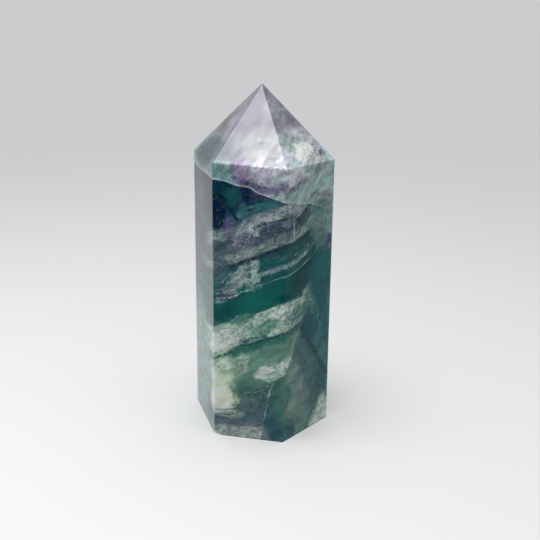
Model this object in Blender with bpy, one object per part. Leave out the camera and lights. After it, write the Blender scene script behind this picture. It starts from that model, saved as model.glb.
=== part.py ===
"""Fluorite point: one piece of banded fluorite, sawn flat at the foot, ground to six
sides and six sloping facets that meet in a tip, and polished.

The stone stands on its foot. The origin is at the middle of the foot, +Z runs up to
the tip, and the broad front face looks along -Y.
"""

import math

import bmesh
import bpy
from mathutils import Vector

# Driving dimensions, in metres. TIP is where the six facets would meet if the tip were
# sharp; the softened tip comes out at a height of 0.1000.
TIP = Vector((-0.0004, 0.0001, 0.1002))
ARRIS = 0.00035  # width that polishing has taken off each edge
ARRIS_STEPS = 2

# Each side is a ground plane: the way it faces, in degrees from +X seen from above,
# and how far it lies from the origin. They run round the stone from the front face.
SIDES = (
    ("front", -90.0, 0.01940),
    ("right", -27.3, 0.01883),
    ("back_right", 29.0, 0.01774),
    ("back", 90.0, 0.01940),
    ("back_left", 152.7, 0.01895),
    ("left", 209.0, 0.01759),
)

# Height of the shoulder at the corner between each side and the next one round.
SHOULDERS = (0.0807, 0.0801, 0.0806, 0.0810, 0.0803, 0.0813)

# The foot's front left corner is worn off: how far the wear reaches in from the sharp
# corner, and how far up the edge.
WORN_REACH = 0.0011
WORN_RISE = 0.0017

BLANK = 0.12  # side of the block that the stone is cut from
SLACK = 1e-7  # how close a point lies to a cut to count as on it

# The polished stone's finish: deep teal, clear, glossy.
STONE_COLOUR = (0.12, 0.30, 0.28, 1.0)
STONE_ROUGHNESS = 0.06
STONE_IOR = 1.434
STONE_SEE_THROUGH = 0.6


def facing(degrees):
    """The level direction that lies at this angle from +X, seen from above."""
    angle = math.radians(degrees)
    return Vector((math.cos(angle), math.sin(angle), 0.0))


def corner_at(index, height):
    """The point at this height on the edge between one side and the next one round."""
    _, turn, reach = SIDES[index]
    _, next_turn, next_reach = SIDES[(index + 1) % len(SIDES)]
    a = facing(turn)
    b = facing(next_turn)
    across = a.x * b.y - a.y * b.x
    x = (reach * b.y - next_reach * a.y) / across
    y = (next_reach * a.x - reach * b.x) / across
    return Vector((x, y, height))


def grind(stone, point, outward):
    """Takes off everything beyond a plane, and closes the stone with a flat face."""
    everything = stone.verts[:] + stone.edges[:] + stone.faces[:]
    cut = bmesh.ops.bisect_plane(
        stone,
        geom=everything,
        dist=SLACK,
        plane_co=point,
        plane_no=outward,
        clear_outer=True,
    )
    rim = [part for part in cut["geom_cut"] if isinstance(part, bmesh.types.BMEdge)]
    bmesh.ops.holes_fill(stone, edges=rim, sides=0)


def saw_blank(stone):
    """A block with its lower face sawn flat, where the stone will stand."""
    bmesh.ops.create_cube(stone, size=BLANK)
    bmesh.ops.translate(stone, verts=stone.verts, vec=(0.0, 0.0, BLANK / 2))


def grind_sides(stone):
    """The six upright sides."""
    for _, turn, reach in SIDES:
        outward = facing(turn)
        grind(stone, outward * reach, outward)


def grind_facets(stone):
    """The six facets of the point, each on the plane through the tip and the two
    shoulder corners of the side below it."""
    for index in range(len(SIDES)):
        first = corner_at(index - 1, SHOULDERS[index - 1])
        second = corner_at(index, SHOULDERS[index])
        outward = (second - first).cross(TIP - first).normalized()
        grind(stone, first, outward)


def wear_foot(stone):
    """The small worn facet at the foot's front left corner."""
    corner = corner_at(len(SIDES) - 1, 0.0)
    level_out = (facing(SIDES[0][1]) + facing(SIDES[-1][1])).normalized()
    top = corner + Vector((0.0, 0.0, WORN_RISE))
    outward = (level_out * WORN_RISE + Vector((0.0, 0.0, -WORN_REACH))).normalized()
    grind(stone, top, outward)


def soften_edges(stone):
    """The narrow rounding that polishing leaves along every edge and at the tip."""
    bmesh.ops.bevel(
        stone,
        geom=stone.edges[:],
        offset=ARRIS,
        offset_type="WIDTH",
        segments=ARRIS_STEPS,
        profile=0.5,
        affect="EDGES",
        clamp_overlap=True,
        material=-1,
    )
    bmesh.ops.recalc_face_normals(stone, faces=stone.faces)


def polished_fluorite():
    """Clear teal stone with a polished surface."""
    material = bpy.data.materials.new("polished_fluorite")
    material.use_nodes = True
    surface = material.node_tree.nodes["Principled BSDF"]
    surface.inputs["Base Color"].default_value = STONE_COLOUR
    surface.inputs["Metallic"].default_value = 0.0
    surface.inputs["Roughness"].default_value = STONE_ROUGHNESS
    surface.inputs["IOR"].default_value = STONE_IOR
    surface.inputs["Transmission Weight"].default_value = STONE_SEE_THROUGH
    return material


def make_point():
    """The whole stone as one object."""
    stone = bmesh.new()
    saw_blank(stone)
    grind_sides(stone)
    grind_facets(stone)
    wear_foot(stone)
    soften_edges(stone)
    mesh = bpy.data.meshes.new("fluorite_point")
    stone.to_mesh(mesh)
    stone.free()
    mesh.materials.append(polished_fluorite())
    point = bpy.data.objects.new("fluorite_point", mesh)
    bpy.context.scene.collection.objects.link(point)
    return point


for old in list(bpy.data.objects):
    bpy.data.objects.remove(old, do_unlink=True)

make_point()
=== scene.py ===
import bpy
import bmesh
import math
from mathutils import Matrix, Vector


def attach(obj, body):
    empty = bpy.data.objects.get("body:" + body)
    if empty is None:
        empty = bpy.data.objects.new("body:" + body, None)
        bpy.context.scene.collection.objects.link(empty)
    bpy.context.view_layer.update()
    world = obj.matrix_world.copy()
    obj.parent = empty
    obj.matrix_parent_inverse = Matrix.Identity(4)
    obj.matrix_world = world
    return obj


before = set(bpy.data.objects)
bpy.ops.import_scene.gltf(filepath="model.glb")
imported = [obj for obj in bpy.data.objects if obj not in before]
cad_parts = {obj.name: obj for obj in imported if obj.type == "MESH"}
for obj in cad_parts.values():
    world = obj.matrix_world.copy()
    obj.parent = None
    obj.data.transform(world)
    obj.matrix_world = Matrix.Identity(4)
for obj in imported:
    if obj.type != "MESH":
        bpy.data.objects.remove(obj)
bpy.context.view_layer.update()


# The polished crystal. One piece of fluorite, clear where nothing is grown into it, sawn
# flat at the foot, ground to six sides and six facets, and polished to a gloss. It bends
# light as fluorite does, and takes red out of the light that crosses it.
CRYSTAL_IOR = 1.434
CRYSTAL_LETS_THROUGH = (0.22, 0.55, 0.55, 1.0)
CRYSTAL_TAKES_OUT = 105.0  # per metre, of what the colour above doesn't let through


def paint(red, green, blue):
    """A colour as the eye names it, 0 to 255 each, turned to the values light adds up in."""
    parts = [channel / 255 for channel in (red, green, blue)]
    steps = [part / 12.92 if part <= 0.04045 else ((part + 0.055) / 1.055) ** 2.4 for part in parts]
    return (*steps, 1.0)


def put(tree, kind, feeds=None, **settings):
    """One node, with its settings, each input fed by a plain value or by another's output."""
    node = tree.nodes.new(kind)
    for name, value in settings.items():
        setattr(node, name, value)
    for slot, value in (feeds or {}).items():
        if isinstance(value, bpy.types.NodeSocket):
            tree.links.new(value, node.inputs[slot])
        else:
            node.inputs[slot].default_value = value
    return node


def finish_named(name):
    """A new material, with its node tree and its main surface node."""
    finish = bpy.data.materials.new(name)
    finish.use_nodes = True
    tree = finish.node_tree
    return finish, tree, tree.nodes["Principled BSDF"]


def polished_fluorite():
    """Glossy clear stone: the polish is a little wavy and a little hazy in places."""
    finish, tree, surface = finish_named("polished_fluorite")
    surface.inputs["Base Color"].default_value = (1.0, 1.0, 1.0, 1.0)
    surface.inputs["IOR"].default_value = CRYSTAL_IOR
    surface.inputs["Transmission Weight"].default_value = 1.0
    place = put(tree, "ShaderNodeTexCoord").outputs["Object"]
    haze = put(tree, "ShaderNodeTexNoise", {"Vector": place, "Scale": 160.0, "Detail": 5.0})
    polish = put(tree, "ShaderNodeMapRange", {"Value": haze.outputs["Fac"], "From Min": 0.45,
                                              "From Max": 0.75, "To Min": 0.012, "To Max": 0.05})
    tree.links.new(polish.outputs["Result"], surface.inputs["Roughness"])
    waves = put(tree, "ShaderNodeTexNoise", {"Vector": place, "Scale": 55.0, "Detail": 1.0})
    wavy = put(tree, "ShaderNodeBump", {"Height": waves.outputs["Fac"], "Strength": 0.05,
                                        "Distance": 0.0006})
    tree.links.new(wavy.outputs["Normal"], surface.inputs["Normal"])
    inside = put(tree, "ShaderNodeVolumeAbsorption", {"Color": CRYSTAL_LETS_THROUGH,
                                                      "Density": CRYSTAL_TAKES_OUT})
    tree.links.new(inside.outputs["Volume"], tree.nodes["Material Output"].inputs["Volume"])
    return finish


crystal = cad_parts["fluorite_point"]
crystal.data.materials.clear()
crystal.data.materials.append(polished_fluorite())
crystal.visible_shadow = False


# The growth zones. The stone grew in layers, as cube faces laid one on another, and two
# sets of layers meet in a seam. Some layers are clear, others are crowded with cloud. The
# pattern runs through the whole stone, so every piece inside it takes its colour here.
MM = 1000.0  # the pattern is worked out in millimetres
LAYER_TILT = (-0.44, 0.148, 1.0)  # the left layers rise to the right and sink to the back
RIGHT_TILT = (0.827, 0.480, 0.293)  # the right layers stand across them
LAYER_EDGE = 0.5  # mm over which one layer passes into the next
FRONT_AT = -19.36  # mm, where the front face lies
CURVES_UP = 0.024  # how steeply the left layers curve up behind the front face
CURVES_TO = 14.0  # mm behind it, beyond which they run straight again
# How a place is drawn about: scale of the noise per mm, its detail and roughness, and how
# many mm it reaches.
BOWED = (0.10, 1.0, 0.50, (1.6, 1.6, 1.8))
CALM = (0.42, 5.0, 0.62, (0.7, 0.7, 0.7))
BENT = (0.50, 6.0, 0.72, (2.2, 2.2, 2.2))
FRAYED = (1.1, 3.0, 0.60, (0.9, 0.9, 0.9))
TORN = (0.24, 4.0, 0.66, (6.0, 6.0, 4.6))
WHOLE_LADDER = (-30.0, 130.0)  # mm, lowest and highest that a stack of layers is asked for
LADDERS_PART = 39.0  # mm, inside the clear teal layer, where the lower stack ends
PATCH_EDGE = 0.35  # how soft a patch's edge is, as a share of its half size

# Each layer: where it starts, in mm up the tilt, its colour as seen under the polish, and
# how cloudy it is.
LOWER_LAYERS = (
    (-30.0, (112, 120, 120), 0.75),
    (1.0, (74, 92, 96), 0.66),
    (9.5, (76, 106, 96), 0.62),
    (14.0, (90, 118, 104), 0.74),
    (17.6, (96, 128, 114), 0.70),
    (24.4, (52, 100, 88), 0.66),
    (26.3, (40, 58, 70), 0.80),
    (27.2, (148, 168, 156), 0.92),
    (35.2, (20, 86, 80), 0.54),
)
UPPER_LAYERS = (
    (-30.0, (20, 88, 82), 0.52),
    (43.0, (30, 80, 80), 0.60),
    (45.6, (82, 100, 106), 0.74),
    (46.7, (30, 80, 80), 0.60),
    (51.2, (44, 38, 58), 0.87),
    (52.2, (108, 124, 118), 0.88),
    (55.0, (72, 78, 92), 0.82),
    (59.5, (124, 130, 134), 0.90),
    (63.3, (60, 94, 102), 0.66),
    (65.3, (36, 56, 72), 0.70),
    (71.0, (30, 46, 64), 0.64),
)
RIGHT_LAYERS = (
    (-30.0, (94, 104, 106), 0.76),
    (-3.2, (58, 82, 90), 0.74),
    (0.9, (62, 97, 86), 0.74),
    (4.4, (92, 116, 108), 0.76),
    (10.2, (80, 100, 104), 0.78),
    (12.0, (64, 92, 92), 0.78),
    (15.6, (50, 83, 88), 0.78),
    (16.8, (46, 80, 88), 0.78),
    (17.8, (40, 79, 85), 0.78),
    (19.2, (48, 88, 90), 0.78),
    (23.0, (0, 78, 84), 0.66),
    (27.0, (72, 106, 102), 0.76),
    (31.5, (116, 134, 132), 0.78),
)

# Soft patches in the left layers: centre and half size in mm (across, into the stone, and up the
# tilt), colour as seen, and how cloudy. The first is painted light: it makes the left face paler,
# for the light that face mirrors and lets through at a grazing view.
LAYER_PATCHES_AND_LEFT_FACE_LIGHT = (
    # Painted light: a pale patch over the left face, for the light it mirrors and lets through.
    ((-19.0, -6.0, 20.0), (8.0, 16.0, 22.0), (118, 138, 136), 0.80),
    ((-19.0, -6.0, 64.0), (8.0, 16.0, 16.0), (70, 88, 98), 0.72),
    ((-7.4, -19.0, 26.4), (3.6, 5.0, 1.7), (78, 118, 100), 0.78),
    ((-7.6, -19.0, 20.0), (3.9, 9.0, 5.8), (158, 174, 156), 0.88),
    ((-1.9, -19.0, 21.0), (2.1, 6.0, 3.4), (130, 146, 134), 0.86),
    ((-7.3, -19.0, 12.4), (4.3, 6.0, 4.4), (189, 193, 174), 0.97),
    ((1.4, -19.0, 13.6), (5.4, 7.0, 2.9), (78, 108, 98), 0.70),
    ((8.4, -19.0, 15.2), (3.2, 5.0, 2.5), (134, 152, 142), 0.90),
    ((5.2, -19.0, 16.5), (2.8, 5.0, 1.8), (176, 184, 172), 0.94),
    ((-7.0, -19.0, 29.8), (4.0, 6.0, 3.4), (186, 198, 184), 0.95),
    ((4.4, -19.0, 30.4), (3.6, 8.0, 2.1), (100, 129, 117), 0.84),
    ((7.4, -19.0, 30.8), (1.8, 4.0, 1.6), (72, 106, 96), 0.84),
    ((-0.2, -19.0, 34.0), (1.9, 4.0, 1.3), (90, 118, 108), 0.86),
    ((-1.4, -19.0, 35.0), (3.2, 5.0, 1.1), (74, 112, 104), 0.76),
    ((9.6, -19.0, 33.4), (2.6, 4.0, 1.3), (176, 190, 182), 0.95),
    ((13.6, -14.8, 29.6), (3.0, 4.6, 2.6), (82, 112, 106), 0.86),
    ((14.6, -12.6, 39.8), (4.6, 7.0, 4.3), (0, 52, 58), 0.74),
    ((-7.0, -19.0, 38.6), (3.4, 7.0, 2.4), (18, 66, 68), 0.60),
    ((3.6, -19.0, 39.6), (5.2, 8.0, 2.2), (24, 90, 86), 0.54),
    ((8.8, -19.0, 49.4), (3.6, 5.0, 1.3), (46, 78, 82), 0.78),
    ((2.8, -19.0, 7.6), (4.8, 7.0, 3.4), (80, 96, 100), 0.72),
    ((5.2, -19.0, 10.0), (2.6, 5.0, 2.0), (62, 84, 84), 0.76),
    ((11.6, -18.2, 16.6), (1.8, 3.0, 1.8), (160, 172, 163), 0.92),
    ((2.0, -19.0, 48.6), (1.9, 4.0, 2.1), (150, 166, 156), 0.92),
    ((2.0, -19.0, 45.2), (1.7, 3.0, 1.7), (128, 146, 140), 0.86),
    ((-0.3, -19.0, 48.0), (3.6, 5.0, 3.1), (126, 142, 136), 0.90),
    ((-3.8, -19.0, 45.2), (3.2, 5.0, 1.6), (106, 116, 118), 0.84),
    ((-0.2, -19.0, 49.1), (1.4, 3.0, 1.2), (98, 116, 112), 0.88),
    ((-0.2, -19.0, 44.0), (1.5, 2.5, 0.9), (30, 84, 76), 0.72),
    ((0.9, -19.0, 46.8), (0.7, 1.5, 0.9), (50, 90, 84), 0.74),
    ((-7.6, -19.0, 51.2), (2.6, 5.0, 4.2), (66, 82, 94), 0.82),
    ((-2.2, -19.0, 53.2), (2.6, 4.0, 1.3), (122, 133, 132), 0.89),
    ((10.2, -18.6, 54.6), (3.4, 4.4, 2.0), (82, 97, 101), 0.87),
    ((-6.2, -19.0, 43.2), (3.8, 5.0, 1.1), (70, 76, 90), 0.82),
    ((7.2, -19.0, 57.2), (4.9, 7.0, 2.2), (60, 68, 84), 0.88),
    ((-1.4, -19.0, 57.6), (3.0, 6.0, 2.9), (92, 94, 110), 0.86),
    ((-8.0, -19.0, 58.4), (2.6, 6.0, 2.0), (64, 76, 86), 0.84),
    ((-6.8, -19.0, 62.0), (2.0, 6.0, 1.6), (104, 118, 116), 0.86),
    ((-3.3, -19.0, 58.4), (0.9, 3.0, 2.3), (106, 106, 122), 0.88),
    ((-2.8, -19.0, 63.2), (1.7, 4.0, 1.3), (62, 72, 90), 0.86),
    ((2.0, -19.0, 60.6), (1.5, 3.0, 1.4), (134, 141, 146), 0.92),
    ((-5.0, -19.0, 61.2), (1.4, 3.0, 1.6), (82, 90, 100), 0.86),
    ((11.8, -18.6, 59.0), (1.5, 2.6, 2.0), (88, 95, 106), 0.88),
    ((3.0, -19.0, 59.0), (0.6, 1.5, 0.9), (170, 175, 182), 0.94),
    ((-5.4, -19.0, 64.0), (1.5, 4.0, 1.5), (82, 70, 104), 0.86),
    ((-4.6, -19.0, 71.4), (2.6, 5.0, 2.6), (34, 74, 78), 0.64),
)
# Patches near the foot and in the right layers, with the last half size straight up.
FOOT_PATCHES = (
    ((-2.0, -19.0, 1.0), (9.0, 10.0, 3.2), (136, 142, 138), 0.86),
    ((-2.0, -19.0, 4.6), (8.6, 8.0, 1.0), (84, 86, 102), 0.82),
    ((-5.6, -19.0, 7.6), (4.6, 6.0, 1.6), (140, 150, 145), 0.88),
)
RIGHT_PATCHES = (
    ((19.9, -2.8, 2.6), (4.0, 5.0, 6.0), (158, 168, 160), 0.94),
    ((13.2, -16.0, 15.0), (3.0, 5.0, 8.0), (108, 128, 120), 0.76),
    ((10.8, -19.0, 14.0), (2.4, 3.0, 5.0), (66, 98, 88), 0.74),
    ((12.4, -17.2, 2.0), (2.4, 3.8, 3.6), (58, 82, 88), 0.76),
    ((16.4, -9.6, 33.0), (2.6, 4.4, 4.0), (16, 72, 78), 0.76),
    ((18.2, -5.6, 0.4), (2.2, 3.2, 2.6), (180, 188, 178), 0.93),
    ((15.4, -11.2, 12.0), (2.2, 3.2, 3.4), (98, 118, 113), 0.78),
    ((19.9, -2.4, 47.0), (3.0, 4.0, 8.0), (10, 64, 70), 0.70),
    ((16.9, -8.2, 63.0), (5.0, 8.0, 5.0), (92, 114, 112), 0.84),
    ((18.3, -5.5, 50.5), (2.8, 5.0, 5.0), (0, 84, 90), 0.62),
    ((20.0, -2.0, 56.6), (1.4, 3.0, 2.6), (56, 60, 80), 0.80),
    ((19.2, -3.8, 34.0), (0.8, 2.0, 1.4), (36, 52, 68), 0.76),
)
# Patches in the cap, above the old crack.
CAP_BASE = ((140, 156, 154), 0.82)
CAP_PATCHES = (
    ((0.0, 0.0, 96.0), (30.0, 30.0, 12.5), (112, 106, 118), 0.74),
    ((-6.0, -13.0, 84.5), (7.0, 8.0, 4.6), (108, 106, 118), 0.80),
    ((4.0, -14.0, 84.5), (7.0, 8.0, 4.6), (134, 134, 136), 0.82),
    ((13.0, -8.0, 85.5), (7.0, 8.5, 4.6), (152, 149, 156), 0.82),
    ((10.4, -9.6, 86.4), (3.4, 4.4, 3.4), (126, 134, 132), 0.80),
    ((9.8, -15.2, 83.0), (2.4, 2.6, 1.8), (172, 168, 182), 0.86),
    ((13.2, -8.6, 84.0), (2.8, 4.2, 3.2), (196, 194, 190), 0.95),
    ((16.2, -7.0, 81.6), (2.6, 3.6, 2.0), (134, 132, 134), 0.88),
    ((17.8, -2.6, 82.4), (1.2, 1.8, 1.1), (92, 72, 104), 0.86),
    ((4.0, -4.4, 93.6), (3.4, 4.2, 4.4), (116, 114, 124), 0.80),
    ((-14.0, -8.0, 82.0), (9.0, 11.0, 4.6), (52, 66, 76), 0.84),
    ((-16.4, -6.0, 82.6), (2.4, 3.6, 1.8), (26, 46, 56), 0.88),
    ((-12.0, -9.6, 84.2), (1.8, 3.0, 2.4), (40, 46, 60), 0.88),
    ((-10.4, -2.0, 88.8), (3.2, 4.4, 4.0), (84, 64, 70), 0.86),
)
# Streaks in the cap, told as those below it are.
CAP_FRONT_STREAKS = (
    (((0.4, 79.0), (4.4, 78.0)), 2.1, (102, 128, 130), 0.82, 0.8),
    (((12.8, 81.0), (14.3, 76.8)), 1.9, (164, 157, 171), 0.89, 0.9),
    (((7.6, 80.2), (9.0, 77.6)), 2.4, (138, 118, 144), 0.84, 0.8),
    (((6.0, 77.6), (9.0, 76.4), (12.8, 75.2), (17.4, 74.5)), 0.9, (84, 74, 106), 0.90, 0.7),
    (((16.0, 79.2), (20.0, 80.4)), 1.4, (150, 145, 159), 0.90, 0.9),
    (((13.6, 74.4), (17.0, 75.2), (20.6, 76.8)), 1.0, (100, 88, 118), 0.88, 0.7),
    (((13.0, 80.8), (20.4, 80.4)), 0.5, (196, 192, 200), 0.92, 0.2),
)
CAP_RIGHT_STREAKS = (
    (((2.2, 77.8), (6.4, 78.2)), 1.9, (182, 178, 192), 0.90, 0.9),
    (((0.2, 74.7), (4.4, 75.1), (8.4, 76.8)), 0.9, (104, 96, 118), 0.86, 0.6),
    (((14.6, 68.6), (20.6, 67.2)), 1.5, (92, 108, 110), 0.86, 0.8),
    (((10.8, 71.4), (13.2, 72.1), (16.0, 71.4), (20.6, 69.6)), 0.7, (122, 117, 130), 0.87, 0.7),
    (((6.0, 69.2), (10.0, 70.2), (13.0, 71.9)), 0.16, (158, 174, 174), 0.90, 0.5),
    (((0.3, 81.0), (4.6, 79.7), (9.0, 78.0)), 0.26, (216, 212, 218), 0.92, 0.5),
    (((11.0, 79.6), (16.0, 79.8)), 1.6, (138, 136, 136), 0.88, 0.5),
)
AS_SEEN = 2.2  # how much paler a speck is in itself than it looks inside the stone
PALEST = 0.94  # as pale as any speck may be
THINNEST, THICKEST = 0.04, 0.98  # the least and the most cloud there is anywhere
SEAM_ACROSS = (0.8, 0.6, 0.0)
# The seam's course: height in mm, and how far along SEAM_ACROSS it lies there.
SEAM = (
    (0.0, -8.0), (8.0, -6.8), (18.0, -5.2), (21.0, -3.0), (24.0, -0.6), (31.0, 1.9),
    (35.5, 4.4), (44.0, 5.2), (55.0, 8.6), (69.0, 6.2), (100.0, 12.0),
)
SEAM_SPAN = (-20.0, 40.0)
SEAM_SHOWS_TO = 37.0  # mm, the height up to which the seam shows as a bright line
CRACK_TILT = (0.25, 0.15, 1.0)  # the old crack falls to the right and to the back
CRACK_HEIGHT = 71.67  # mm, where it would cross the middle of the stone
CRACK_BOW = ((6.6, 75.0, 0.0), (5.0, 8.0, 3.0))  # across the front face, up it and behind it
CRACK_BOWED_BY = 0.7  # mm
CRACK_SHOWS_TO = 16.0  # mm, how far to the right it shows
CAP_COMBED = Vector((0.31, 0.68, 0.66))  # the way the cap's cloud is combed
COMBED_OUT = 0.85  # how far the cloud is drawn out that way
HEALED_CRACK = 43.1  # mm up the tilt of the left layers
LINE = 0.08  # mm, half the width of the bright line where a crack meets the polish
LINE_COLOUR = (164, 182, 176)
LINE_CLOUD = 0.9
THREAD_COLOUR = (214, 224, 218)
FLATTENED = 1.8  # how much flatter the clots of cloud lie than they are wide
EVEN_CLOUD = ((-6.8, -19.0, 14.6), (5.6, 8.0, 7.2))  # centre and half size of an even patch
# The noises that the cloud is made of: scale per mm, detail and roughness.
CLUMPS = (1.2, 3.0, 0.60)
CURD = (0.40, 8.0, 0.70)
GRAIN = (1.5, 3.0, 0.70)
SAND = (0.16, 2.0, 0.50)
VEINS = (0.50, 5.0, 0.62)
DRIFT = (0.20, 2.0, 0.50)
HAIR = (0.8, 3.0, 0.60)
SPOTS = 1.1  # per mm

# Streaks that lie just under two of the ground faces: places across the face and up it in
# mm, half the width, colour as seen, how cloudy, and how whole (0 where it lies in clumps).
# Where a face starts and ends is given by the corners of the foot. The last streak on the right
# face
# is painted shade: a thin dark line down its back edge.
FRONT_LEFT = Vector((-9.363, -19.356, 0.0))
FRONT_RIGHT = Vector((11.178, -19.356, 0.0))
BACK_RIGHT = Vector((20.713, -0.848, 0.0))
SINKS_IN = 0.15  # how fast a streak ends with depth, against how fast it ends sideways
FRONT_STREAKS = (
    (((1.6, 71.0), (1.2, 64.4)), 2.0, (14, 0, 42), 0.97, 0.9),
    (((8.5, 75.8), (10.3, 69.6)), 1.3, (30, 20, 62), 0.94, 0.9),
    (((11.6, 73.4), (19.0, 72.0)), 1.3, (58, 52, 82), 0.84, 0.6),
    (((9.0, 68.9), (20.6, 73.0)), 0.42, (44, 106, 98), 0.76, 0.5),
    (((7.0, 66.4), (8.5, 69.6)), 1.0, (58, 94, 106), 0.80, 0.8),
    (((4.0, 69.4), (5.2, 67.6), (6.6, 65.8)), 0.42, (10, 6, 30), 0.92, 0.8),
    (((5.2, 68.8), (7.2, 65.4)), 0.22, (14, 10, 38), 0.90, 0.4),
    (((12.5, 64.6), (15.7, 65.6), (20.6, 67.2)), 0.30, (40, 42, 60), 0.90, 0.4),
    (((8.4, 63.4), (9.9, 65.4)), 0.80, (88, 100, 108), 0.88, 0.5),
    (((8.9, 58.6), (10.6, 62.6)), 0.12, (140, 146, 156), 0.90, 0.1),
    (((5.0, 52.0), (8.6, 54.2), (12.4, 55.9), (20.6, 59.9)), 0.45, (34, 30, 50), 0.92, 0.8),
    (((12.8, 50.2), (17.0, 52.0), (20.6, 54.0)), 0.55, (120, 126, 136), 0.90, 0.4),
    (((0.2, 42.0), (3.4, 42.5)), 0.70, (80, 106, 108), 0.86, 0.2),
    (((1.0, 43.0), (4.2, 43.6), (7.4, 44.6)), 0.20, (136, 140, 148), 0.90, 0.0),
    (((0.6, 44.4), (3.4, 45.0), (6.0, 46.0)), 0.18, (128, 134, 140), 0.90, 0.0),
    (((2.4, 47.6), (5.4, 50.8)), 0.16, (140, 150, 150), 0.90, 0.0),
    (((9.8, 47.6), (11.4, 48.4), (12.7, 50.0)), 0.50, (118, 140, 138), 0.88, 0.3),
    (((0.2, 24.4), (4.6, 27.0), (9.4, 30.0)), 0.42, (28, 84, 64), 0.80, 0.3),
    (((8.0, 30.3), (12.0, 31.9), (15.0, 32.8)), 0.55, (48, 78, 80), 0.86, 0.5),
    (((0.2, 26.2), (5.4, 28.8), (8.4, 30.4)), 0.16, (204, 212, 198), 0.94, 0.3),
    (((0.2, 23.4), (3.6, 25.6)), 0.14, (190, 200, 184), 0.92, 0.2),
    (((14.2, 20.2), (16.4, 19.3), (17.6, 20.6)), 0.90, (150, 165, 156), 0.92, 0.5),
    (((10.2, 46.1), (13.0, 47.4)), 0.80, (88, 118, 118), 0.86, 0.2),
    (((9.4, 15.0), (12.0, 15.2), (14.5, 16.2), (16.2, 17.8)), 0.12, (120, 148, 134), 0.84, 0.3),
    (((0.6, 9.0), (3.6, 9.2), (6.4, 10.2)), 0.12, (206, 210, 194), 0.92, 0.4),
    (((0.4, 6.8), (4.0, 7.0), (6.4, 7.8), (7.8, 9.4)), 0.18, (44, 54, 60), 0.90, 0.4),
    (((0.4, 8.3), (4.0, 8.6)), 0.12, (70, 84, 82), 0.88, 0.0),
)
RIGHT_STREAKS_AND_EDGE_SHADE = (
    (((3.5, 61.8), (3.6, 67.4)), 0.22, (150, 154, 160), 0.92, 0.5),
    (((5.6, 69.8), (9.8, 69.9)), 0.80, (108, 122, 126), 0.88, 0.5),
    (((4.8, 64.2), (9.4, 67.2)), 1.3, (62, 72, 82), 0.86, 0.6),
    (((4.2, 66.9), (7.5, 68.4), (10.5, 70.2), (13.2, 71.8)), 0.20, (146, 164, 160), 0.88, 0.6),
    (((4.6, 66.2), (9.0, 68.6)), 0.24, (40, 48, 60), 0.88, 0.5),
    (((12.8, 71.5), (16.0, 71.2), (20.6, 69.8)), 0.30, (112, 104, 120), 0.86, 0.6),
    (((14.0, 70.2), (20.6, 69.0)), 0.24, (108, 102, 118), 0.84, 0.4),
    (((13.0, 68.0), (20.6, 66.6)), 0.20, (104, 122, 118), 0.84, 0.4),
    (((0.0, 59.6), (5.0, 59.6), (9.4, 61.0)), 0.45, (34, 46, 58), 0.88, 0.6),
    (((0.4, 53.4), (5.0, 54.0), (9.0, 55.8)), 0.50, (128, 142, 146), 0.90, 0.0),
    (((4.0, 56.0), (11.6, 58.2)), 0.26, (100, 124, 128), 0.86, 0.0),
    (((1.0, 57.0), (8.0, 58.4)), 0.9, (58, 86, 92), 0.78, 0.1),
    (((0.3, 44.2), (7.0, 44.5)), 1.20, (0, 60, 64), 0.90, 1.0),
    (((10.2, 43.6), (12.0, 39.4)), 0.60, (84, 122, 110), 0.80, 0.2),
    (((7.6, 34.6), (13.0, 26.0), (20.3, 15.0)), 0.70, (6, 50, 60), 0.90, 0.8),
    (((6.2, 21.6), (8.0, 15.6), (9.6, 11.8)), 0.80, (112, 114, 124), 0.84, 0.3),
    (((8.4, 16.2), (12.6, 6.6)), 0.16, (52, 62, 72), 0.80, 0.3),
    # Painted shade: a thin dark line down the right face's back edge, where the edge looks dark.
    (((20.5, 8.0), (20.5, 58.0)), 0.26, (32, 60, 72), 0.80, 0.3),
)


def calc(tree, operation, first, second=0.5, third=0.5):
    """Arithmetic between two or three values."""
    feeds = {0: first, 1: second, 2: third}
    return put(tree, "ShaderNodeMath", feeds, operation=operation).outputs[0]


def combine(tree, operation, first, second=(0.0, 0.0, 0.0), third=(0.0, 0.0, 0.0)):
    """Arithmetic between places or directions."""
    feeds = {0: first, 1: second, 2: third}
    return put(tree, "ShaderNodeVectorMath", feeds, operation=operation).outputs[0]


def along(tree, place, direction):
    """How far a place lies along a direction."""
    feeds = {0: place, 1: direction}
    return put(tree, "ShaderNodeVectorMath", feeds, operation="DOT_PRODUCT").outputs["Value"]


def scaled(tree, place, factor):
    """A place or colour made larger or smaller."""
    feeds = {0: place, "Scale": factor}
    return put(tree, "ShaderNodeVectorMath", feeds, operation="SCALE").outputs[0]


def soft_step(tree, value, start, end):
    """0 before the start, 1 after the end, and smooth between them."""
    feeds = {"Value": value, "From Min": start, "From Max": end}
    step = put(tree, "ShaderNodeMapRange", feeds, interpolation_type="SMOOTHSTEP", clamp=False)
    return step.outputs["Result"]


def blend(tree, mask, under, over):
    """One colour over another, as far as the mask says."""
    return put(tree, "ShaderNodeMix", {0: mask, 6: under, 7: over}, data_type="RGBA").outputs[2]


def blend_value(tree, mask, under, over):
    """One value over another, as far as the mask says."""
    return put(tree, "ShaderNodeMix", {0: mask, 2: under, 3: over}, data_type="FLOAT").outputs[0]


def noise(tree, place, scale, detail, roughness):
    """Uneven noise at a place: its value and its colour."""
    feeds = {"Vector": place, "Scale": scale, "Detail": detail, "Roughness": roughness}
    return put(tree, "ShaderNodeTexNoise", feeds).outputs


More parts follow.
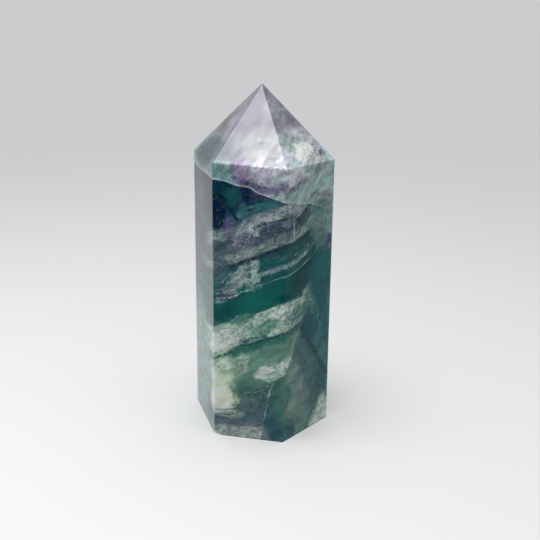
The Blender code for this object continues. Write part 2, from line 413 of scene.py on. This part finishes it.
def stirred(tree, place, scale, detail, roughness, reach):
    """A place moved about by up to a few mm, and the noise that moved it."""
    stir = noise(tree, place, scale, detail, roughness)
    shift = combine(tree, "SUBTRACT", stir["Color"], (0.5, 0.5, 0.5))
    return combine(tree, "MULTIPLY_ADD", shift, reach, place), stir["Fac"]


def parts_of(tree, place):
    """The three measures of a place, named X, Y and Z."""
    return put(tree, "ShaderNodeSeparateXYZ", {0: place}).outputs


def at_height(tree, place, height):
    """A place, with its height told in another way."""
    parts = parts_of(tree, place)
    feeds = {"X": parts["X"], "Y": parts["Y"], "Z": height}
    return put(tree, "ShaderNodeCombineXYZ", feeds).outputs[0]


def ladder(tree, height, layers):
    """The colour and the cloud of a stack of layers at a height in it."""
    lowest, highest = WHOLE_LADDER
    feeds = {"Value": height, "From Min": lowest, "From Max": highest}
    share = put(tree, "ShaderNodeMapRange", feeds).outputs["Result"]
    ramp = put(tree, "ShaderNodeValToRGB", {"Fac": share})
    steps = ramp.color_ramp.elements
    stops = []
    for index, (start, colour, cloud) in enumerate(layers):
        end = layers[index + 1][0] if index + 1 < len(layers) else highest
        reach = min(LAYER_EDGE, (end - start) / 2) / 2
        stops.append((start + reach, colour, cloud))
        stops.append((end - reach, colour, cloud))
    while len(steps) < len(stops):
        steps.new(1.0)
    for step, (height_mm, colour, cloud) in zip(steps, stops):
        step.position = (height_mm - lowest) / (highest - lowest)
        step.color = (*paint(*colour)[:3], cloud)
    return ramp.outputs["Color"], ramp.outputs["Alpha"]


def lump(tree, place, centre, reach):
    """A rounded patch: 1 inside, 0 outside, with the centre and half sizes in mm."""
    offset = combine(tree, "DIVIDE", combine(tree, "SUBTRACT", place, centre), reach)
    distance = put(tree, "ShaderNodeVectorMath", {0: offset}, operation="LENGTH").outputs["Value"]
    return soft_step(tree, distance, 1.0 + PATCH_EDGE, 1.0 - PATCH_EDGE)


def lay_over(tree, mask, under, over):
    """Lays one stretch of stone over another. Each is a colour and how cloudy it is."""
    colour = blend(tree, mask, under[0], over[0])
    return colour, blend_value(tree, mask, under[1], over[1])


def lay_patches(tree, place, patches, stone):
    """Lays rounded patches over what is there already."""
    for centre, reach, colour, cloud in patches:
        stone = lay_over(tree, lump(tree, place, centre, reach), stone, (paint(*colour), cloud))
    return stone


def on_face(tree, place, corner, next_corner):
    """A place as seen on a ground face: across it, up it, and how far behind it."""
    run = (next_corner - corner).normalized()
    inwards = Vector((-run.y, run.x, 0.0)) * SINKS_IN
    offset = combine(tree, "SUBTRACT", place, corner)
    feeds = {"X": along(tree, offset, run), "Y": along(tree, offset, (0.0, 0.0, 1.0)),
             "Z": along(tree, offset, inwards)}
    return put(tree, "ShaderNodeCombineXYZ", feeds).outputs[0]


def streak(tree, place, start, end, width):
    """1 along a straight streak between two places on a face, 0 away from it."""
    start, end = Vector((*start, 0.0)), Vector((*end, 0.0))
    run = end - start
    offset = combine(tree, "SUBTRACT", place, start)
    share = calc(tree, "MULTIPLY", along(tree, offset, run), 1.0 / run.length_squared)
    share = calc(tree, "MAXIMUM", calc(tree, "MINIMUM", share, 1.0), 0.0)
    feeds = {0: offset, 1: scaled(tree, run, share)}
    distance = put(tree, "ShaderNodeVectorMath", feeds, operation="DISTANCE").outputs["Value"]
    return soft_step(tree, distance, 1.45 * width, 0.55 * width)


def lay_streaks(tree, place, streaks, clumps, stone):
    """Lays streaks over what is there already, some of them broken into clumps."""
    for places, width, colour, cloud, whole in streaks:
        mask = None
        for start, end in zip(places, places[1:]):
            part = streak(tree, place, start, end, width)
            mask = part if mask is None else calc(tree, "MAXIMUM", mask, part)
        mask = calc(tree, "MULTIPLY", mask, calc(tree, "MULTIPLY_ADD", clumps, 1 - whole, whole))
        stone = lay_over(tree, mask, stone, (paint(*colour), cloud))
    return stone


def curve_of(tree, value, points, span, reach):
    """A value read off a smooth curve through points, of which the first value is a height."""
    lowest, width = reach
    course = put(tree, "ShaderNodeFloatCurve", {"Value": calc(tree, "DIVIDE", value, span)})
    curve = course.mapping.curves[0]
    while len(curve.points) < len(points):
        curve.points.new(0.5, 0.5)
    for point, (at, level) in zip(curve.points, points):
        point.location = (at / span, (level - lowest) / width)
    course.mapping.update()
    return calc(tree, "MULTIPLY_ADD", course.outputs[0], width, lowest)


def left_stack(group, bent, torn, rise):
    """The left layers with their patches, a height told along them, and a place in them."""
    height = calc(group, "SUBTRACT", along(group, bent, LAYER_TILT), rise)
    lower = ladder(group, height, LOWER_LAYERS)
    upper = ladder(group, height, UPPER_LAYERS)
    is_upper = soft_step(group, height, LADDERS_PART - 0.5, LADDERS_PART + 0.5)
    stone = lay_over(group, is_upper, lower, upper)
    torn_height = calc(group, "SUBTRACT", along(group, torn, LAYER_TILT), rise)
    in_layers = at_height(group, torn, torn_height)
    # These patches include painted light, which makes the left face paler.
    stone = lay_patches(group, in_layers, LAYER_PATCHES_AND_LEFT_FACE_LIGHT, stone)
    return lay_patches(group, bent, FOOT_PATCHES, stone), height, in_layers


def right_stack(group, bowed, torn):
    """The right layers, with their patches."""
    stone = ladder(group, along(group, bowed, RIGHT_TILT), RIGHT_LAYERS)
    return lay_patches(group, torn, RIGHT_PATCHES, stone)


def cap(group, torn, on_front, on_right, clumps):
    """The stone above the old crack."""
    stone = lay_patches(group, torn, CAP_PATCHES, (paint(*CAP_BASE[0]), CAP_BASE[1]))
    stone = lay_streaks(group, on_front, CAP_FRONT_STREAKS, clumps, stone)
    return lay_streaks(group, on_right, CAP_RIGHT_STREAKS, clumps, stone)


def on_line(group, distance, outer, inner):
    """1 on a fine line, 0 away from it, with its two reaches told in half widths of a line."""
    return soft_step(group, calc(group, "ABSOLUTE", distance), outer * LINE, inner * LINE)


def healed_lines(group, off_seam, off_healed, left_side, x, z):
    """The seam, low down, and the healed crack, in the left layers only."""
    seam_seen = soft_step(group, z, SEAM_SHOWS_TO, SEAM_SHOWS_TO - 4.0)
    seam = calc(group, "MULTIPLY", on_line(group, off_seam, 2.0, 0.6), seam_seen)
    healed_seen = calc(group, "MULTIPLY", left_side, soft_step(group, x, -5.0, -1.0))
    healed = calc(group, "MULTIPLY", on_line(group, off_healed, 1.9, 0.6), healed_seen)
    return calc(group, "MAXIMUM", seam, healed)


def spots(group, place):
    """How far off the nearest spot lies, and three chance values that it has."""
    cells = put(group, "ShaderNodeTexVoronoi", {"Vector": place, "Scale": SPOTS})
    chances = put(group, "ShaderNodeSeparateColor", {0: cells.outputs["Color"]}).outputs
    return cells.outputs["Distance"], chances


def even_areas(group, in_layers, right_side, in_cap, x, z):
    """Where the cloud is smooth: a patch near the foot, low right, to the left, in the cap."""
    low_right = calc(group, "MULTIPLY", right_side, soft_step(group, z, 37.0, 31.0))
    low_right = calc(group, "MULTIPLY", low_right, 0.75)
    even = calc(group, "MAXIMUM", lump(group, in_layers, *EVEN_CLOUD), low_right)
    far_left = soft_step(group, x, -9.0, -12.0)
    half_even = calc(group, "MULTIPLY", calc(group, "MAXIMUM", far_left, in_cap), 0.6)
    return calc(group, "MAXIMUM", even, half_even)


def threads(group, bedded, tear, crowded, rough_and_pale):
    """Fine pale threads, where small cracks have healed."""
    vein = noise(group, bedded, *VEINS)["Fac"]
    off_vein = calc(group, "ABSOLUTE", calc(group, "SUBTRACT", vein, 0.5))
    thread = calc(group, "MULTIPLY", soft_step(group, off_vein, 0.034, 0.008),
                  soft_step(group, tear, 0.44, 0.56))
    thread = calc(group, "MULTIPLY", thread, blend_value(group, crowded, 0.05, 0.9))
    return calc(group, "MULTIPLY", thread, rough_and_pale)


def specks(group, calm, z):
    """Single bright specks, most of them in the upper half."""
    distance, chances = spots(group, calm)
    speck = calc(group, "MULTIPLY", soft_step(group, distance, 0.22, 0.08),
                 soft_step(group, chances[0], 0.72, 0.92))
    upper_half = soft_step(group, z, 38.0, 52.0)
    return calc(group, "MULTIPLY", speck, blend_value(group, upper_half, 0.2, 0.8))


def combed_hair(group, calm):
    """In the cap the cloud is combed along the facets."""
    run = scaled(group, CAP_COMBED, along(group, calm, CAP_COMBED))
    combed = combine(group, "SUBTRACT", calm, scaled(group, run, COMBED_OUT))
    hair = noise(group, combed, *HAIR)["Fac"]
    return calc(group, "MULTIPLY", calc(group, "SUBTRACT", hair, 0.5), 1.3)


def growth_zones():
    """The node group: a place in the stone gives its colour, and how cloudy it is there."""
    group = bpy.data.node_groups.new("growth_zones", "ShaderNodeTree")
    group.interface.new_socket("Place", in_out="INPUT", socket_type="NodeSocketVector")
    group.interface.new_socket("Colour", in_out="OUTPUT", socket_type="NodeSocketColor")
    group.interface.new_socket("Cloud", in_out="OUTPUT", socket_type="NodeSocketFloat")
    entry = group.nodes.new("NodeGroupInput")
    out = group.nodes.new("NodeGroupOutput")

    # Place in mm, drawn about a little, so that no layer is quite flat or straight.
    mm = scaled(group, entry.outputs["Place"], MM)
    bowed, _ = stirred(group, mm, *BOWED)
    calm, _ = stirred(group, bowed, *CALM)
    bent, _ = stirred(group, bowed, *BENT)
    frayed, _ = stirred(group, calm, *FRAYED)
    torn, tear = stirred(group, bent, *TORN)
    x = parts_of(group, mm)["X"]
    z = parts_of(group, mm)["Z"]

    # The left stack curves up behind the front face, and the right one begins past the seam.
    behind = calc(group, "SUBTRACT", parts_of(group, bowed)["Y"], FRONT_AT)
    behind = calc(group, "MAXIMUM", calc(group, "MINIMUM", behind, CURVES_TO), 0.0)
    rise = calc(group, "MULTIPLY", calc(group, "MULTIPLY", behind, behind), CURVES_UP)
    stone, height, in_layers = left_stack(group, bent, torn, rise)
    seam_at = curve_of(group, z, SEAM, 100.0, SEAM_SPAN)
    beyond = calc(group, "SUBTRACT", along(group, calm, SEAM_ACROSS), seam_at)
    fades = blend_value(group, soft_step(group, z, 32.0, 40.0), 0.3, 2.2)
    right_side = soft_step(group, beyond, calc(group, "MULTIPLY", fades, -1.0), fades)
    stone = lay_over(group, right_side, stone, right_stack(group, bowed, torn))

    # Streaks lie just under the front and the right face; on the right face, painted shade also
    # darkens a thin line down its back edge.
    clumps = soft_step(group, noise(group, calm, *CLUMPS)["Fac"], 0.44, 0.56)
    on_front = on_face(group, frayed, FRONT_LEFT, FRONT_RIGHT)
    on_right = on_face(group, frayed, FRONT_RIGHT, BACK_RIGHT)
    stone = lay_streaks(group, on_front, FRONT_STREAKS, clumps, stone)
    stone = lay_streaks(group, on_right, RIGHT_STREAKS_AND_EDGE_SHADE, clumps, stone)

    # The cap lies above the old crack.
    bow = lump(group, on_front, *CRACK_BOW)
    above_crack = calc(group, "SUBTRACT", along(group, calm, CRACK_TILT), CRACK_HEIGHT)
    above_crack = calc(group, "MULTIPLY_ADD", bow, -CRACK_BOWED_BY, above_crack)
    in_cap = soft_step(group, above_crack, -0.15, 0.15)
    stone = lay_over(group, in_cap, stone, cap(group, torn, on_front, on_right, clumps))

    # The seam and the healed crack show as fine broken lines, and the old crack as a whole one.
    off_seam = calc(group, "SUBTRACT", along(group, frayed, SEAM_ACROSS), seam_at)
    off_healed = calc(group, "SUBTRACT", along(group, frayed, LAYER_TILT), HEALED_CRACK)
    off_healed = calc(group, "SUBTRACT", off_healed, rise)
    left_side = calc(group, "SUBTRACT", 1.0, right_side)
    lines = healed_lines(group, off_seam, off_healed, left_side, x, z)
    lines = calc(group, "MULTIPLY", lines, soft_step(group, tear, 0.36, 0.52))
    lines = calc(group, "MULTIPLY", lines, calc(group, "MULTIPLY_ADD", clumps, 0.6, 0.4))
    crack_seen = soft_step(group, x, CRACK_SHOWS_TO + 3.0, CRACK_SHOWS_TO)
    crack = calc(group, "MULTIPLY", on_line(group, above_crack, 1.8, 0.8), crack_seen)
    lines = calc(group, "MAXIMUM", lines, crack)
    colour, cloud = lay_over(group, lines, stone, (paint(*LINE_COLOUR), LINE_CLOUD))

    # Where the cloud is crowded, where it is smooth, and where the stone is pale.
    crowded = soft_step(group, cloud, 0.66, 0.95)
    even = even_areas(group, in_layers, right_side, in_cap, x, z)
    rough = calc(group, "SUBTRACT", 1.0, calc(group, "MULTIPLY", even, 0.8))
    green = put(group, "ShaderNodeSeparateColor", {0: colour}).outputs["Green"]
    pale = soft_step(group, green, 0.02, 0.13)
    rough_and_pale = calc(group, "MULTIPLY", rough, calc(group, "MULTIPLY_ADD", pale, 0.85, 0.15))

    # Curdled cloud lies flat in the layers: dense in the cloudy ones, a few wisps in the clear.
    bedded = at_height(group, bent, calc(group, "MULTIPLY", height, FLATTENED))
    curd = noise(group, bedded, *CURD)["Fac"]
    lumpy = soft_step(group, curd, 0.36, 0.66)
    drift = soft_step(group, noise(group, bedded, *DRIFT)["Fac"], 0.22, 0.78)
    lumpy = blend_value(group, calc(group, "MULTIPLY", crowded, rough), drift, lumpy)
    grainy = soft_step(group, noise(group, bedded, *GRAIN)["Fac"], 0.38, 0.62)
    sandy = soft_step(group, noise(group, calm, *SAND)["Fac"], 0.40, 0.60)

    # Bright threads, flecks and specks stand in it, and small dark pits and gaps.
    distance, chances = spots(group, bent)
    fleck = calc(group, "MULTIPLY", soft_step(group, distance, 0.34, 0.16),
                 soft_step(group, chances[0], 0.70, 0.82))
    fleck = calc(group, "MULTIPLY", fleck, blend_value(group, crowded, 0.10, 0.75))
    fleck = calc(group, "MULTIPLY", fleck, rough_and_pale)
    thread = threads(group, bedded, tear, crowded, rough_and_pale)
    bright = calc(group, "MAXIMUM", calc(group, "MAXIMUM", thread, specks(group, calm, z)), fleck)
    off_gap = calc(group, "ABSOLUTE", calc(group, "SUBTRACT", curd, 0.46))
    gap = calc(group, "MULTIPLY", soft_step(group, off_gap, 0.030, 0.008), crowded)
    pit = calc(group, "MULTIPLY", soft_step(group, distance, 0.40, 0.18),
               soft_step(group, chances[1], 0.74, 0.86))
    pit = calc(group, "MAXIMUM", calc(group, "MULTIPLY", pit, sandy), gap)
    pit = calc(group, "MULTIPLY", pit, calc(group, "MULTIPLY", crowded, rough))

    # All of them make the colour lighter or darker, and the cloud thicker or thinner.
    tone = calc(group, "MULTIPLY_ADD", lumpy, blend_value(group, crowded, 0.50, 0.56),
                blend_value(group, crowded, 0.74, 0.68))
    sandy_and_rough = calc(group, "MULTIPLY", calc(group, "MULTIPLY_ADD", sandy, 0.5, 0.5), rough)
    swing = calc(group, "MULTIPLY", blend_value(group, crowded, 0.16, 0.90), sandy_and_rough)
    swing = calc(group, "MULTIPLY", calc(group, "SUBTRACT", grainy, 0.5), swing)
    tone = calc(group, "ADD", tone, swing)
    tone = calc(group, "MULTIPLY_ADD", combed_hair(group, calm), in_cap, tone)
    tone = calc(group, "SUBTRACT", tone, calc(group, "MULTIPLY", pit, 0.30))
    colour = scaled(group, colour, calc(group, "MULTIPLY", tone, AS_SEEN))
    colour = combine(group, "MINIMUM", colour, (PALEST, PALEST, PALEST))
    colour = blend(group, calc(group, "MULTIPLY", bright, 0.70), colour, paint(*THREAD_COLOUR))
    wispy = calc(group, "MULTIPLY", calc(group, "SUBTRACT", lumpy, 0.5),
                 blend_value(group, crowded, 0.14, 0.30))
    density = calc(group, "ADD", calc(group, "MULTIPLY_ADD", bright, 0.4, wispy), cloud)
    feeds = {"Value": density, "Min": THINNEST, "Max": THICKEST}
    density = put(group, "ShaderNodeClamp", feeds).outputs[0]

    group.links.new(colour, out.inputs["Colour"])
    group.links.new(density, out.inputs["Cloud"])
    return group


zones = growth_zones()


# The clouds. Fine bubbles and specks stand in sheets under the polish and deeper in, and
# they make the pale bands. Each sheet follows the ground faces at its own depth, and is
# open where the layer is clear, so the eye looks past it into the stone.
CLOUD_DEPTHS = (0.0003, 0.0016, 0.0036, 0.0066, 0.0105)
OUTER_CLOUD = 0.92  # how much of the cloud the first sheet holds
INNER_CLOUD = 0.5  # and how much of it each of the others holds
SHADE_SHEET = 1  # the sheet that shades the floor, for the light that comes through
MAIN_FACE = 50e-6  # m2; the softened edges are smaller
BLANK = 0.14  # side of the block that each sheet is trimmed out of
BELOW_FOOT = 0.01  # how far that block reaches below the foot
SLACK = 1e-7  # how far off a cut a corner may lie and still count as on it


def ground_faces(node):
    """The flat faces that the stone was ground to: a point on each, and the way it faces."""
    found = {}
    for face in node.data.polygons:
        key = tuple(round(part, 2) for part in face.normal)
        area, _, _ = found.get(key, (0.0, None, None))
        found[key] = (area + face.area, face.center.copy(), face.normal.copy())
    return [(point, outward) for area, point, outward in found.values() if area > MAIN_FACE]


def trim(mesh, faces, depth):
    """Cuts a mesh back to the stone's faces, moved inwards by the depth, and closes it."""
    for point, outward in faces:
        everything = mesh.verts[:] + mesh.edges[:] + mesh.faces[:]
        cut = bmesh.ops.bisect_plane(mesh, geom=everything, dist=SLACK, clear_outer=True,
                                     plane_co=point - outward * depth, plane_no=outward)
        rim = [part for part in cut["geom_cut"] if isinstance(part, bmesh.types.BMEdge)]
        bmesh.ops.holes_fill(mesh, edges=rim, sides=0)


def piece_from(name, mesh, finish):
    """A finished piece, with its place in its mesh."""
    data = bpy.data.meshes.new(name)
    mesh.to_mesh(data)
    mesh.free()
    data.materials.append(finish)
    piece = bpy.data.objects.new(name, data)
    bpy.context.scene.collection.objects.link(piece)
    return piece


def cloud_finish(name, strength):
    """Matt specks in clear stone: only their colour and how densely they stand varies."""
    finish, tree, surface = finish_named(name)
    surface.inputs["Roughness"].default_value = 0.9
    surface.inputs["Specular IOR Level"].default_value = 0.0
    place = put(tree, "ShaderNodeTexCoord").outputs["Object"]
    pattern = put(tree, "ShaderNodeGroup", node_tree=zones)
    tree.links.new(place, pattern.inputs["Place"])
    tree.links.new(pattern.outputs["Colour"], surface.inputs["Base Color"])
    density = calc(tree, "MULTIPLY", pattern.outputs["Cloud"], strength)
    tree.links.new(density, surface.inputs["Alpha"])
    return finish


faces_of_stone = ground_faces(crystal)
for number, depth in enumerate(CLOUD_DEPTHS):
    sheet = bmesh.new()
    bmesh.ops.create_cube(sheet, size=BLANK)
    bmesh.ops.translate(sheet, verts=sheet.verts, vec=(0.0, 0.0, BLANK / 2 - BELOW_FOOT))
    trim(sheet, faces_of_stone, depth)
    name = f"cloud_{number + 1}"
    strength = OUTER_CLOUD if number == 0 else INNER_CLOUD
    cloud = piece_from(name, sheet, cloud_finish(name, strength))
    cloud.visible_shadow = number == SHADE_SHEET
    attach(cloud, "root")


# The floor. A plain pale sheet that the stone stands on. Its upper face lies a hair below
# the foot, as where two hard surfaces touch in a few points only.
FLOOR_RADIUS = 8.0
FLOOR_GAP = 0.0001


def matt_card():
    """Matt pale card, with a very faint fibre in it."""
    finish, tree, surface = finish_named("matt_card")
    surface.inputs["Roughness"].default_value = 0.75
    surface.inputs["Specular IOR Level"].default_value = 0.25
    place = put(tree, "ShaderNodeTexCoord").outputs["Object"]
    fibre = put(tree, "ShaderNodeTexNoise", {"Vector": place, "Scale": 900.0, "Detail": 3.0})
    shade = blend(tree, fibre.outputs["Fac"], (0.80, 0.80, 0.80, 1.0), (0.82, 0.82, 0.82, 1.0))
    tree.links.new(shade, surface.inputs["Base Color"])
    return finish


card = bmesh.new()
bmesh.ops.create_circle(card, cap_ends=True, radius=FLOOR_RADIUS, segments=96)
bmesh.ops.translate(card, verts=card.verts, vec=(0.0, 0.0, -FLOOR_GAP))
floor = piece_from("floor", card, matt_card())


# The light. An even pale room, and one softbox with a grid above the stone, a little to
# the left and in front, which the front facet of the point mirrors.
ROOM_COLOUR = (0.750, 0.748, 0.758, 1.0)
ROOM_LEVEL = 1.0
SOFTBOX_PLACE = Vector((-0.11, -0.118, 0.563))
SOFTBOX_AIM = Vector((-0.04, -0.10, 0.0))
SOFTBOX_SIDE = 0.27
SOFTBOX_POWER = 0.30
SOFTBOX_SPREAD = math.radians(75)

room = bpy.data.worlds.new("room")
bpy.context.scene.world = room
room.use_nodes = True
room.node_tree.nodes["Background"].inputs["Color"].default_value = ROOM_COLOUR
room.node_tree.nodes["Background"].inputs["Strength"].default_value = ROOM_LEVEL

lamp = bpy.data.lights.new("softbox", "AREA")
lamp.shape = "SQUARE"
lamp.size = SOFTBOX_SIDE
lamp.energy = SOFTBOX_POWER
lamp.spread = SOFTBOX_SPREAD
softbox = bpy.data.objects.new("softbox", lamp)
softbox.location = SOFTBOX_PLACE
softbox.rotation_euler = (SOFTBOX_AIM - SOFTBOX_PLACE).to_track_quat("-Z", "Y").to_euler()
bpy.context.scene.collection.objects.link(softbox)


# The camera. It stands a little above the stone and to its right, where the corners of the
# stone in the photograph say it stood, and looks down at it.
SENSOR = 36.0  # mm
FOCAL = SENSOR * 941.0 / 540  # the focal length in pixels, over the picture's width
CAMERA_PLACE = Vector((0.05909, -0.256421, 0.135542))
HEADING = math.radians(12.4517)  # turned left of +Y
PITCH = math.radians(18.8813)  # looking down
ROLL = math.radians(0.6692)

level = Vector((-math.sin(HEADING), math.cos(HEADING), 0.0))
upright = Vector((0.0, 0.0, 1.0))
view_line = level * math.cos(PITCH) - upright * math.sin(PITCH)
view_up = level * math.sin(PITCH) + upright * math.cos(PITCH)
view_side = view_line.cross(view_up)
side = view_side * math.cos(ROLL) + view_up * math.sin(ROLL)
up = view_up * math.cos(ROLL) - view_side * math.sin(ROLL)

lens = bpy.data.cameras.new("camera")
lens.sensor_width = SENSOR
lens.lens = FOCAL
camera = bpy.data.objects.new("camera", lens)
turn = Matrix((side, up, -view_line)).transposed().to_4x4()
camera.matrix_world = Matrix.Translation(CAMERA_PLACE) @ turn
bpy.context.scene.collection.objects.link(camera)
bpy.context.scene.camera = camera


# The picture. Its darkest tones are cut, red most, as the photograph's are, and light may
# pass through many clouds one behind another.
DARKEST = (0.030, 0.020, 0.019)
CLOUDS_CROSSED = 64

view = bpy.context.scene.view_settings
view.view_transform = "Standard"
view.use_curve_mapping = True
view.curve_mapping.black_level = DARKEST
view.curve_mapping.update()
bpy.context.scene.cycles.transparent_max_bounces = CLOUDS_CROSSED
